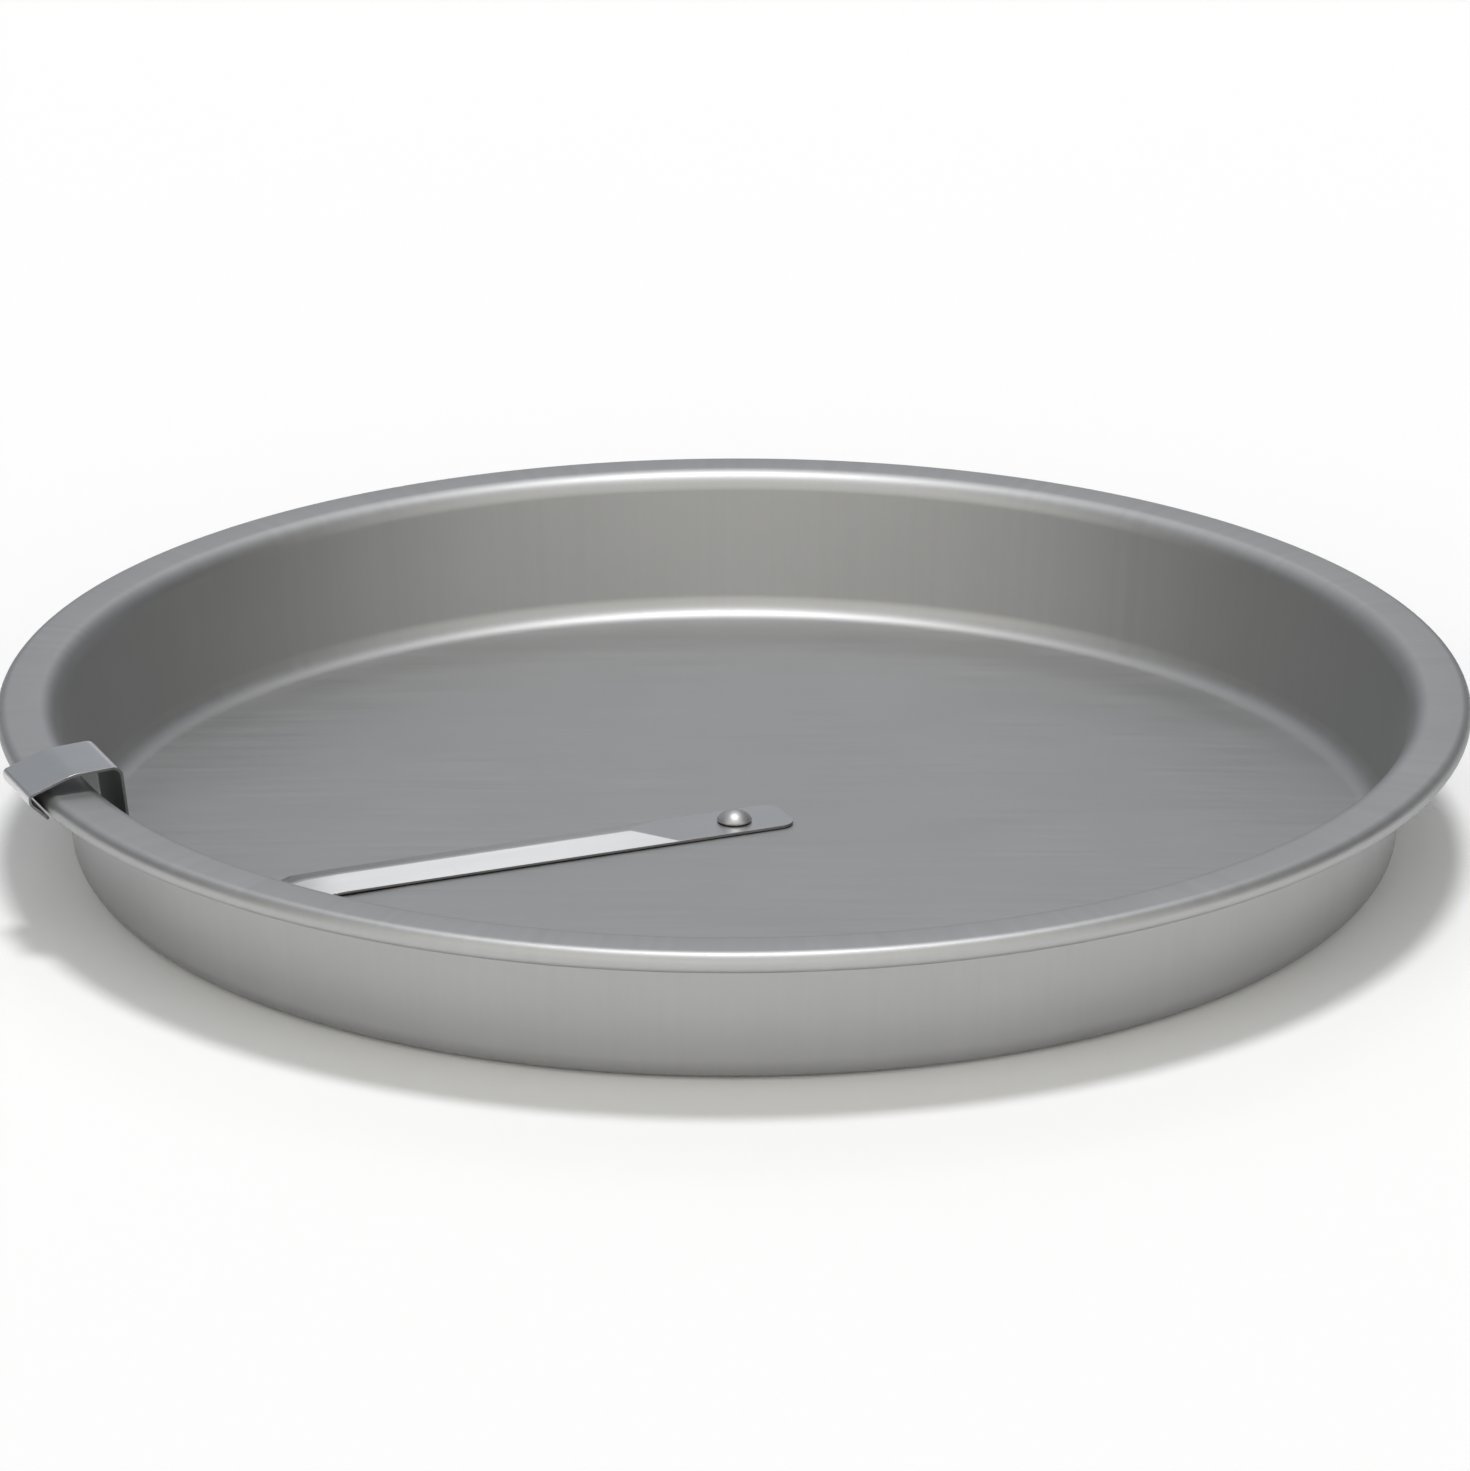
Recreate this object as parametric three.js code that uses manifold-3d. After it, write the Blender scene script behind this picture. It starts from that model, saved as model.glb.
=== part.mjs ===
// Round butter cake pan with a turning cutter arm.
// A pan drawn from sheet has a tapered wall, a flat flange and a curled rim. One bent strip turns on a
// rivet at the middle of the floor: it lies along the floor, climbs the wall, bridges the flange and
// hooks under the curled rim, so that one turn of it frees a cake from the pan.
// Millimetres, +Z up. The origin is on the table under the middle of the pan, and -Y is the front.

import * as THREE from 'three';
import { mergeVertices } from 'three/addons/utils/BufferGeometryUtils.js';
import Module from 'manifold-3d';

const { clamp, degToRad, lerp, smoothstep } = THREE.MathUtils;

// Pan
const RIM_DIAMETER = 260;
const PAN_HEIGHT = 28;
const PAN_SHEET = 0.5;
const WALL_TAPER = degToRad(6.1);
// From the rim edge in to the line where the straight wall and the flange would meet
const FLANGE_WIDTH = 10.3;
// Bend radii, at the middle of the sheet
const FLOOR_BEND = 4.55;
const FLANGE_BEND = 3.65;
const CURL_DIAMETER = 3.8;
const CURL_TURN = degToRad(270);
// Flat ring that the pan stands on, and the level raised middle of the floor that the arm turns on
const BEARING_WIDTH = 8.5;
const LEVEL_DIAMETER = 150;

// Rivet
const HEAD_DIAMETER = 6.2;
const HEAD_HEIGHT = 1.9;
const HEAD_EDGE = 0.3;
const SHOULDER_DIAMETER = 4;
const TENON_DIAMETER = 3;
const TAIL_DIAMETER = 5.6;
const TAIL_HEIGHT = 0.5;
const TAIL_EDGE = 0.2;

// Cutter arm
const ARM_SHEET = 0.5;
const ARM_AZIMUTH = degToRad(-157.25);
const BLADE_WIDTH = 11.2;
const BLADE_TAIL = 10;
const BLADE_CORNER = 3;
const RIDGE_HEIGHT = 1.4;
// From the rivet to the start of the ridge, the length of its rise and of its fall, and its stop
// short of the leg
const RIDGE_START = 12;
const RIDGE_RISE = 8;
const RIDGE_FALL = 11;
const RIDGE_STOP = 21;
const CLIP_WIDTH = 14.3;
const CLIP_CORNER = 1;
// From the leg back to the end of the flare, and the length of the flare
const FLARE_STOP = 10;
const FLARE_LENGTH = 12;
// Bend radii, at the middle of the strip
const FOOT_BEND = 5;
const SHOULDER_BEND = 1.8;
const CREASE_BEND = 8;
const HOOK_BEND = 0.7;
const TONGUE_BEND = 1.5;
// Rise of the bridge above the rim where it leaves the leg, at its crease and at the hook
const BRIDGE_RISE = 3.5;
const CREASE_RISE = 3.05;
const HOOK_RISE = 0.4;
// From the rim edge in to the crease
const CREASE_INSET = 4.8;
// From the bridge down the hook to the tongue, and the tongue's reach past its closest place to the curl
const HOOK_DROP = 1.4;
const TONGUE_REACH = 0.8;

// Clearances
const RUN_CLEARANCE = 0.2;
const LEG_CLEARANCE = 3.2;
const HOOK_CLEARANCE = 2.5;
const TONGUE_CLEARANCE = 0.4;
const TABLE_CLEARANCE = 0.3;
const PIVOT_CLEARANCE = 0.2;
const TENON_CLEARANCE = 0.1;

// Facets
const PAN_SEGMENTS = 72;
const RIVET_SEGMENTS = 32;
const BEND_STEP = degToRad(21);
const CURL_STEP = degToRad(30);
const DOME_STEPS = 5;
const CORNER_STEPS = 4;
const FLARE_STEPS = 5;
const LEAST_STATION = 0.05;

// Heights and radii that follow from the sizes above
const RIM_RADIUS = RIM_DIAMETER / 2;
const CURL_RADIUS = CURL_DIAMETER / 2;
const CURL_CENTRE = new THREE.Vector2(RIM_RADIUS - CURL_RADIUS, PAN_HEIGHT - CURL_RADIUS);
const FLOOR_CROWN = TAIL_HEIGHT + TABLE_CLEARANCE;
const SEAT_TOP = FLOOR_CROWN + PAN_SHEET;
const MOUTH_RADIUS = RIM_RADIUS - FLANGE_WIDTH;
const FLANGE_MIDDLE = PAN_HEIGHT - PAN_SHEET / 2;
const FLOOR_MIDDLE = PAN_SHEET / 2;
const BASE_RADIUS = wallRadius(FLOOR_MIDDLE);
const FLOOR_BEND_SETBACK = FLOOR_BEND * Math.tan((Math.PI / 2 - WALL_TAPER) / 2);
const BEARING_INNER = BASE_RADIUS - FLOOR_BEND_SETBACK - BEARING_WIDTH;
const LEVEL_RADIUS = LEVEL_DIAMETER / 2;
const PAD_MIDDLE = SEAT_TOP + RUN_CLEARANCE + ARM_SHEET / 2;
const RING_MIDDLE = PAD_MIDDLE - FLOOR_CROWN;
const HEAD_BOTTOM = PAD_MIDDLE + ARM_SHEET / 2 + RUN_CLEARANCE;

// Radius of the wall's middle surface at a height.
function wallRadius(z) {
  return MOUTH_RADIUS - (FLANGE_MIDDLE - z) * Math.tan(WALL_TAPER);
}

// Radius of the arm's leg, which stands parallel to the wall, at a height.
function legRadius(z) {
  const spacing = PAN_SHEET / 2 + LEG_CLEARANCE + ARM_SHEET / 2;
  return wallRadius(z) - spacing / Math.cos(WALL_TAPER);
}

function arcPoints(centre, radius, from, to, step) {
  const count = Math.ceil(Math.abs(to - from) / step);
  const points = [];
  for (let i = 0; i <= count; i++) {
    const angle = lerp(from, to, i / count);
    points.push(new THREE.Vector2(Math.cos(angle), Math.sin(angle)).multiplyScalar(radius).add(centre));
  }
  return points;
}

// Points of a path through [x, y, bend radius] corners, with an arc at each corner that has a radius.
function bentPath(corners) {
  const points = [];
  corners.forEach(([x, y, bend = 0], i) => {
    const corner = new THREE.Vector2(x, y);
    if (bend === 0) {
      points.push(corner);
      return;
    }
    const [beforeX, beforeY] = corners[i - 1];
    const [afterX, afterY] = corners[i + 1];
    const into = new THREE.Vector2(x - beforeX, y - beforeY).normalize();
    const out = new THREE.Vector2(afterX - x, afterY - y).normalize();
    const turn = Math.atan2(into.cross(out), into.dot(out));
    const side = Math.sign(turn);
    const start = corner.clone().addScaledVector(into, -bend * Math.tan(Math.abs(turn) / 2));
    const centre = new THREE.Vector2(-into.y, into.x).multiplyScalar(side * bend).add(start);
    const from = Math.atan2(start.y - centre.y, start.x - centre.x);
    points.push(...arcPoints(centre, bend, from, from + turn, BEND_STEP));
  });
  return points;
}

// Mitred left-hand direction at each point of a path: points moved along it keep an even sheet.
function leftDirections(points) {
  const normals = points.slice(1).map((point, i) => {
    const along = point.clone().sub(points[i]).normalize();
    return new THREE.Vector2(-along.y, along.x);
  });
  return points.map((point, i) => {
    const before = normals[Math.max(i - 1, 0)];
    const after = normals[Math.min(i, normals.length - 1)];
    const sum = before.clone().add(after);
    return sum.multiplyScalar(2 / sum.lengthSq());
  });
}

function offsetPath(points, distance) {
  const directions = leftDirections(points);
  return points.map((point, i) => point.clone().addScaledVector(directions[i], distance));
}

// A profile of radius and height turned about the Z axis.
function revolve(profile, segments) {
  return new THREE.LatheGeometry(profile, segments).rotateX(Math.PI / 2);
}

const wasm = await Module();
wasm.setup();

function toSolid(geometry) {
  const bare = geometry.clone();
  bare.deleteAttribute('normal');
  bare.deleteAttribute('uv');
  const merged = mergeVertices(bare);
  const vertProperties = new Float32Array(merged.attributes.position.array);
  const triVerts = new Uint32Array(merged.index.array);
  return new wasm.Manifold(new wasm.Mesh({ numProp: 3, vertProperties, triVerts }));
}

function toGeometry(solid) {
  const mesh = solid.getMesh();
  const geometry = new THREE.BufferGeometry();
  geometry.setAttribute('position', new THREE.BufferAttribute(mesh.vertProperties, 3));
  geometry.setIndex(new THREE.BufferAttribute(mesh.triVerts, 1));
  geometry.computeVertexNormals();
  return geometry;
}

function namedMesh(name, geometry, material) {
  const mesh = new THREE.Mesh(geometry, material);
  mesh.name = name;
  return mesh;
}

// The pan is one sheet: its middle line runs from the rivet hole along the crowned floor, up the wall,
// out along the flange and round the open curl of the rim.
function panGeometry() {
  const middle = bentPath([
    [TENON_DIAMETER / 2 + TENON_CLEARANCE, FLOOR_CROWN + FLOOR_MIDDLE],
    [LEVEL_RADIUS, FLOOR_CROWN + FLOOR_MIDDLE],
    [BEARING_INNER, FLOOR_MIDDLE],
    [BASE_RADIUS, FLOOR_MIDDLE, FLOOR_BEND],
    [MOUTH_RADIUS, FLANGE_MIDDLE, FLANGE_BEND],
    [CURL_CENTRE.x, FLANGE_MIDDLE],
  ]);
  const top = Math.PI / 2;
  const curl = arcPoints(CURL_CENTRE, CURL_RADIUS - PAN_SHEET / 2, top, top - CURL_TURN, CURL_STEP);
  middle.push(...curl.slice(1));
  const under = offsetPath(middle, -PAN_SHEET / 2);
  const over = offsetPath(middle, PAN_SHEET / 2);
  return revolve([...under, ...over.reverse(), under[0]], PAN_SEGMENTS);
}

// The rivet's shoulder stands on the floor, its tenon goes through and its tail is spread underneath.
// The shoulder is longer than the arm is thick, so the arm turns freely under the domed head.
function rivetGeometry() {
  const domeHeight = HEAD_HEIGHT - HEAD_EDGE;
  const domeBase = HEAD_BOTTOM + HEAD_EDGE;
  const headRadius = HEAD_DIAMETER / 2;
  const domeRadius = (headRadius ** 2 + domeHeight ** 2) / (2 * domeHeight);
  const domeCentre = new THREE.Vector2(0, domeBase + domeHeight - domeRadius);
  const rimAngle = Math.asin((domeBase - domeCentre.y) / domeRadius);
  const domeStep = (Math.PI / 2 - rimAngle) / DOME_STEPS;
  const dome = arcPoints(domeCentre, domeRadius, rimAngle, Math.PI / 2, domeStep);
  const tailBottom = FLOOR_CROWN - TAIL_HEIGHT;
  const profile = [
    [0, tailBottom],
    [TAIL_DIAMETER / 2 - TAIL_EDGE, tailBottom],
    [TAIL_DIAMETER / 2, tailBottom + TAIL_EDGE],
    [TAIL_DIAMETER / 2, FLOOR_CROWN],
    [TENON_DIAMETER / 2, FLOOR_CROWN],
    [TENON_DIAMETER / 2, SEAT_TOP],
    [SHOULDER_DIAMETER / 2, SEAT_TOP],
    [SHOULDER_DIAMETER / 2, HEAD_BOTTOM],
    [headRadius, HEAD_BOTTOM],
  ].map(([radius, height]) => new THREE.Vector2(radius, height));
  dome[dome.length - 1].x = 0;
  return revolve([...profile, ...dome], RIVET_SEGMENTS);
}

// Middle of the strip above the crowned floor, at a distance from the rivet.
function bladeHeight(u) {
  const fall = (u - LEVEL_RADIUS) / (BEARING_INNER - LEVEL_RADIUS);
  return PAD_MIDDLE - FLOOR_CROWN * clamp(fall, 0, 1);
}

// The arm's flat blank: width of the strip at a distance from the rivet, along the floor.
function bladeWidth(u, legFoot) {
  const fromEnd = Math.min(u + BLADE_TAIL, BLADE_CORNER);
  const corner = BLADE_CORNER - Math.sqrt(BLADE_CORNER ** 2 - (BLADE_CORNER - fromEnd) ** 2);
  const flareEnd = legFoot - FLARE_STOP;
  const flare = smoothstep(u, flareEnd - FLARE_LENGTH, flareEnd);
  return lerp(BLADE_WIDTH, CLIP_WIDTH, flare) - 2 * corner;
}

// Height of the pressed ridge along the middle of the strip.
function ridgeHeight(u, legFoot) {
  const rise = (u - RIDGE_START) / RIDGE_RISE;
  const fall = (legFoot - RIDGE_STOP - u) / RIDGE_FALL;
  return RIDGE_HEIGHT * clamp(Math.min(rise, fall), 0, 1);
}

// Evenly spaced distances from the rivet, without the last.
function stretch(from, to, steps) {
  return Array.from({ length: steps }, (unused, i) => lerp(from, to, i / steps));
}

// Stations of the strip: middle point, left-hand direction, width and ridge height at each.
function armStations() {
  const legFoot = legRadius(RING_MIDDLE);
  const ridgeEnd = legFoot - RIDGE_STOP;
  const flareEnd = legFoot - FLARE_STOP;
  const floorDistances = [
    ...stretch(-BLADE_TAIL, BLADE_CORNER - BLADE_TAIL, CORNER_STEPS),
    BLADE_CORNER - BLADE_TAIL,
    LEVEL_RADIUS,
    RIDGE_START,
    RIDGE_START + RIDGE_RISE,
    ridgeEnd - RIDGE_FALL,
    ridgeEnd,
    ...stretch(flareEnd - FLARE_LENGTH, flareEnd, FLARE_STEPS),
    flareEnd,
    BEARING_INNER,
  ].sort((a, b) => a - b).filter((u, i, all) => i === 0 || u - all[i - 1] > LEAST_STATION);
  const blade = floorDistances.map((u) => new THREE.Vector2(u, bladeHeight(u)));

  const bridgeInner = PAN_HEIGHT + BRIDGE_RISE;
  const hook = RIM_RADIUS + HOOK_CLEARANCE + ARM_SHEET / 2;
  const hookTop = PAN_HEIGHT + HOOK_RISE;
  const tongueStart = new THREE.Vector2(hook, hookTop - HOOK_DROP);
  const toCurl = CURL_CENTRE.clone().sub(tongueStart);
  const tongueSpacing = CURL_RADIUS + TONGUE_CLEARANCE + ARM_SHEET / 2;
  const tongueAngle = toCurl.angle() + Math.asin(tongueSpacing / toCurl.length());
  const inward = new THREE.Vector2(Math.cos(tongueAngle), Math.sin(tongueAngle));
  const tongueEnd = tongueStart.clone().addScaledVector(inward, inward.dot(toCurl) + TONGUE_REACH);
  const cornerStart = tongueEnd.clone().addScaledVector(inward, -CLIP_CORNER);
  const clip = bentPath([
    [BEARING_INNER, RING_MIDDLE],
    [legFoot, RING_MIDDLE, FOOT_BEND],
    [legRadius(bridgeInner), bridgeInner, SHOULDER_BEND],
    [RIM_RADIUS - CREASE_INSET, PAN_HEIGHT + CREASE_RISE, CREASE_BEND],
    [hook, hookTop, HOOK_BEND],
    [tongueStart.x, tongueStart.y, TONGUE_BEND],
    [cornerStart.x, cornerStart.y],
    [tongueEnd.x, tongueEnd.y],
  ]).slice(1);

  const middle = [...blade, ...clip];
  const directions = leftDirections(middle);
  return middle.map((point, i) => {
    const onFloor = i < blade.length;
    const last = i === middle.length - 1;
    const clipWidth = last ? CLIP_WIDTH - 2 * CLIP_CORNER : CLIP_WIDTH;
    return {
      point,
      direction: directions[i],
      width: onFloor ? bladeWidth(point.x, legFoot) : clipWidth,
      ridge: onFloor ? ridgeHeight(point.x, legFoot) : 0,
    };
  });
}

// The strip as a loft of six-point sections: edge, ridge and edge, on its upper and its lower side.
// Each face between an edge and the ridge is split from its edge at one station to the ridge at the
// next, so the ridge rises from the flat strip with a hipped end.
function stripGeometry(stations) {
  const sides = 6;
  const fromRidge = [1, 4];
  const positions = [];
  for (const { point, direction, width, ridge } of stations) {
    const across = [-width / 2, 0, width / 2];
    const lifts = [0, ridge, 0];
    const place = (k, half) => {
      const { x, y } = point.clone().addScaledVector(direction, lifts[k] + half);
      positions.push(x, across[k], y);
    };
    [0, 1, 2].forEach((k) => place(k, -ARM_SHEET / 2));
    [2, 1, 0].forEach((k) => place(k, ARM_SHEET / 2));
  }
  const faces = [];
  const quad = (a, b, c, d) => faces.push(a, b, c, a, c, d);
  for (let i = 0; i < stations.length - 1; i++) {
    for (let k = 0; k < sides; k++) {
      const a = i * sides + k;
      const b = i * sides + ((k + 1) % sides);
      if (fromRidge.includes(k)) {
        quad(b, b + sides, a + sides, a);
      } else {
        quad(a, b, b + sides, a + sides);
      }
    }
  }
  const end = (stations.length - 1) * sides;
  quad(0, 5, 4, 1);
  quad(1, 4, 3, 2);
  quad(end, end + 1, end + 4, end + 5);
  quad(end + 1, end + 2, end + 3, end + 4);
  const geometry = new THREE.BufferGeometry();
  geometry.setAttribute('position', new THREE.Float32BufferAttribute(positions, 3));
  geometry.setIndex(faces);
  return geometry;
}

function armGeometry() {
  const holeRadius = SHOULDER_DIAMETER / 2 + PIVOT_CLEARANCE;
  const drill = new THREE.CylinderGeometry(holeRadius, holeRadius, PAN_HEIGHT, RIVET_SEGMENTS);
  drill.rotateX(Math.PI / 2);
  return toGeometry(toSolid(stripGeometry(armStations())).subtract(toSolid(drill)));
}

const panSteel = new THREE.MeshStandardMaterial({ color: 0xb4b6b9, roughness: 0.42, metalness: 1 });
const stripSteel = new THREE.MeshStandardMaterial({ color: 0xbfc1c4, roughness: 0.36, metalness: 1 });
const rivetSteel = new THREE.MeshStandardMaterial({ color: 0xc8cacc, roughness: 0.3, metalness: 1 });

const pan = new THREE.Group();
pan.add(namedMesh('pan_body', panGeometry(), panSteel));
pan.add(namedMesh('pivot_rivet', rivetGeometry(), rivetSteel));

const cutter = new THREE.Group();
cutter.rotation.z = ARM_AZIMUTH;
cutter.add(namedMesh('cutter_arm', armGeometry(), stripSteel));
pan.add(cutter);

export default pan;
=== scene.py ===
"""Butter cake pan with a turning cutter arm: the look of the pan, built over its CAD frame.

Metres, +Z up, with -Y towards the camera. The pan is a thin satin sheet with a curled rim, the arm a
brighter bent strip, and the rivet a small domed head. Each piece is grown from a few points: a wire is
bent, then turned about the pan's axis or drawn out across the strip, and its thickness comes last.
"""

import math
from collections import namedtuple

import bmesh
import bpy
from bpy.props import FloatProperty, FloatVectorProperty, IntProperty, PointerProperty
from mathutils import Euler, Matrix, Vector


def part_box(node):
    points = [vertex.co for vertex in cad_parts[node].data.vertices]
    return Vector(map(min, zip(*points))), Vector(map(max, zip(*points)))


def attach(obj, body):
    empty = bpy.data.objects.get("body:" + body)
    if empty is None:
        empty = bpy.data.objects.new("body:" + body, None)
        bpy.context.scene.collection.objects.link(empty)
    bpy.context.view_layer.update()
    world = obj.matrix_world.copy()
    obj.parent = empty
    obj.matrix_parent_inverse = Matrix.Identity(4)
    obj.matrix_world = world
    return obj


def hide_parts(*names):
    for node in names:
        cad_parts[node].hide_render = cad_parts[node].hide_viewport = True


bl_info = {
    "name": "Butter Cake Pan",
    "version": (1, 0, 0),
    "blender": (4, 5, 0),
    "location": "3D View > Sidebar > Cake Pan",
    "description": "Builds a round cake pan with a riveted cutter arm, and the studio it stands in",
    "category": "Add Mesh",
}

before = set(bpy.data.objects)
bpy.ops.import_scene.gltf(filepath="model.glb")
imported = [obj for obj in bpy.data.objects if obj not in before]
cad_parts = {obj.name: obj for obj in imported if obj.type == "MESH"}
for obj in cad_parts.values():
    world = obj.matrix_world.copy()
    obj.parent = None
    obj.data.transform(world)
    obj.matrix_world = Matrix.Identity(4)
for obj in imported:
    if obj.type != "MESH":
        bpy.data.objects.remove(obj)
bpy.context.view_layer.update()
PAN_LOW, PAN_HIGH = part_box("pan_body")
RIVET_LOW, RIVET_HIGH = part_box("pivot_rivet")

# Steps of the round stretches
BEND_SEGMENTS = 12
FOLD_SEGMENTS = 3
EDGE_SEGMENTS = 2
EYE_SEGMENTS = 12
TAIL_CORNER_SEGMENTS = 6
TONGUE_CORNER_SEGMENTS = 4
RIVET_TAIL_SEGMENTS = 4
FLARE_STEPS = 6
FLOOR_SEGMENTS = 96

# Edges sharper than the first are rounded as cut edges, and folds sharper than the second shade crisply
EDGE_LIMIT = math.radians(50)
SHARP_LIMIT = math.radians(25)

# Metres within which two places or two marks count as one, the decimals of a mark, and the radii of the
# eye within which a point belongs to its edge
SAME_PLACE = 1e-6
MARK_REACH = 1e-5
MARK_DECIMALS = 6
EYE_REACH = 1.05

# Roundings as shares of the sheet, the rivet's head edge, its spread end and the pan's bearing ring
SHEET_ROUNDING = 0.2
HEAD_ROUNDING = 0.3
TAIL_ROUNDING = 0.4
RING_EASING = 0.6

# Marks in worked sheet: scales in waves per metre, and bands of noise from none to full
CLOUD_SCALE = 38.0
PORE_SCALE = 5200.0
SMUDGE_SCALE = 16.0
SMUDGE_BAND = (0.55, 0.75)
SMUDGE_SHARE = 0.6
SCRATCH_SCALE = (1600.0, 45.0, 45.0)
SCRATCH_TURN = 0.5
SCRATCH_BAND = (0.7, 0.76)
WALL_STREAKS = (70.0, 70.0, 1.0)
WALL_BLEND = 0.001
NOISE_BAND = (0.3, 0.7)

# How much the marks change the colour, the sheen and the relief
STREAK_TONE = 1.5
STREAK_SHEEN = 0.02
MARK_SHEEN = 0.03
STREAK_HEIGHT = 0.6
SCRATCH_DEPTH = 0.8
RELIEF_STRENGTH = 0.25

# Grain of each metal: waves per metre along each axis, cloudiness, relief in metres, and the shift of its
# marks in the noise
Grain = namedtuple("Grain", "along cloudiness relief place")
PAN_GRAIN = Grain((30.0, 900.0, 900.0), 0.015, 0.00001, 9.0)
RIVET_GRAIN = Grain((900.0, 900.0, 900.0), 0.03, 0.00001, 11.0)
STRIP_GRAIN = Grain((30.0, 1500.0, 30.0), 0.015, 0.000004, 11.0)
DULL_GRAIN = Grain((400.0, 400.0, 3000.0), 0.06, 0.00001, 10.0)

# Tints of the room's light
WARM = (1.026, 1.014, 0.96)
PLAIN = (1.0, 1.0, 1.0)
COOL = (0.943, 0.992, 1.066)

# Soft patches of light in the room: azimuth from the camera's side to the right and elevation, both in
# degrees, then how narrow the patch is, its level and its tint
Patch = namedtuple("Patch", "name azimuth elevation focus level tint")
ROOM_PATCHES = (
    Patch("Overhead", 0, 90, 25, 0.25, PLAIN),
    Patch("High front", 0, 65, 20, 1.15, PLAIN),
    Patch("High back", 180, 65, 20, 0.22, COOL),
    Patch("Upper front right", 45, 40, 14, 0.95, WARM),
    Patch("Upper front left", -45, 40, 14, 1.05, WARM),
    Patch("Upper back right", 135, 40, 14, 0.34, COOL),
    Patch("Upper back", 180, 40, 14, 0.28, COOL),
    Patch("Upper back left", -135, 40, 14, 0.64, COOL),
    Patch("Low front", 0, 12, 14, 1.65, WARM),
    Patch("Low front right", 45, 12, 14, 0.92, WARM),
    Patch("Low front left", -45, 12, 14, 0.98, WARM),
    Patch("Low back", 180, 12, 14, 0.33, COOL),
    Patch("Horizon back right", 135, 0, 60, 0.70, COOL),
    Patch("Horizon back", 180, 0, 60, 0.80, COOL),
    Patch("Horizon back left", -135, 0, 60, 0.85, COOL),
)

# Plain values of the floor and the camera
FLOOR_ROUGHNESS = 0.9
SENSOR_WIDTH = 36.0
CAMERA_REACH = 20.0


def length(name, description, default):
    """A length in metres, shown in the scene's units."""
    return FloatProperty(
        name=name, description=description, default=default, precision=5, unit="LENGTH", subtype="DISTANCE"
    )


def angle(name, description, default):
    """An angle given in degrees and kept in radians."""
    return FloatProperty(
        name=name, description=description, default=math.radians(default), unit="ROTATION", subtype="ANGLE"
    )


def factor(name, description, default):
    """A share between 0 and 1."""
    return FloatProperty(
        name=name, description=description, default=default, min=0.0, max=1.0, precision=3, subtype="FACTOR"
    )


def level(name, description, default):
    """A plain number such as a brightness."""
    return FloatProperty(name=name, description=description, default=default, min=0.0, precision=3)


def colour(name, description, default):
    """A linear colour."""
    return FloatVectorProperty(
        name=name, description=description, default=default, size=3, min=0.0, max=1.0, subtype="COLOR"
    )


def location(name, description, default):
    """A place in metres."""
    return FloatVectorProperty(
        name=name, description=description, default=default, size=3, unit="LENGTH", subtype="TRANSLATION"
    )


def direction(name, description, default):
    """A direction, of any length."""
    return FloatVectorProperty(
        name=name, description=description, default=default, size=3, subtype="DIRECTION"
    )


class CakePanBody(bpy.types.PropertyGroup):
    """Sizes of the drawn sheet pan, at the middle of its sheet where a bend is meant."""

    rim_diameter: length("Rim diameter", "Across the curled rim", PAN_HIGH[0] - PAN_LOW[0])
    height: length("Height", "From the table to the top of the flange", PAN_HIGH[2] - PAN_LOW[2])
    sheet: length("Sheet", "Thickness of the sheet", 0.0005)
    wall_taper: angle("Wall taper", "Lean of the wall away from upright", 6.1)
    flange_width: length("Flange width", "From the rim edge in to the mouth", 0.0103)
    floor_bend: length("Floor bend", "Radius between floor and wall", 0.00455)
    flange_bend: length("Flange bend", "Radius between wall and flange", 0.00365)
    curl_diameter: length("Curl diameter", "Outside size of the curled rim", 0.0038)
    curl_turn: angle("Curl turn", "How far the rim is curled under", 270)
    bearing_width: length("Bearing width", "Flat ring that the pan stands on", 0.0085)
    level_diameter: length("Level diameter", "Raised level middle of the floor", 0.150)
    crown: length("Crown", "Rise of the middle of the floor", 0.0008)
    crown_blend: length("Crown blend", "Length over which the floor eases into its slope", 0.011)
    hole_diameter: length("Hole diameter", "Hole for the rivet", 0.0032)
    turn_steps: IntProperty(name="Steps", description="Steps of the pan about its axis", default=360, min=48)


class CakePanRivet(bpy.types.PropertyGroup):
    """Sizes of the rivet that the arm turns on."""

    head_diameter: length("Head diameter", "Across the domed head", RIVET_HIGH[0] - RIVET_LOW[0])
    head_height: length("Head height", "From the underside of the head to its top", 0.0019)
    head_edge: length("Head edge", "Upright edge of the head", 0.0003)
    shoulder_diameter: length("Shoulder diameter", "Shank that the arm turns on", 0.004)
    tenon_diameter: length("Tenon diameter", "Shank through the floor", 0.003)
    tail_diameter: length("Tail diameter", "Spread end under the floor", 0.0056)
    tail_height: length("Tail height", "Thickness of the spread end", 0.0005)
    turn_steps: IntProperty(name="Steps", description="Steps of the rivet about its axis", default=72, min=12)


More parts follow.
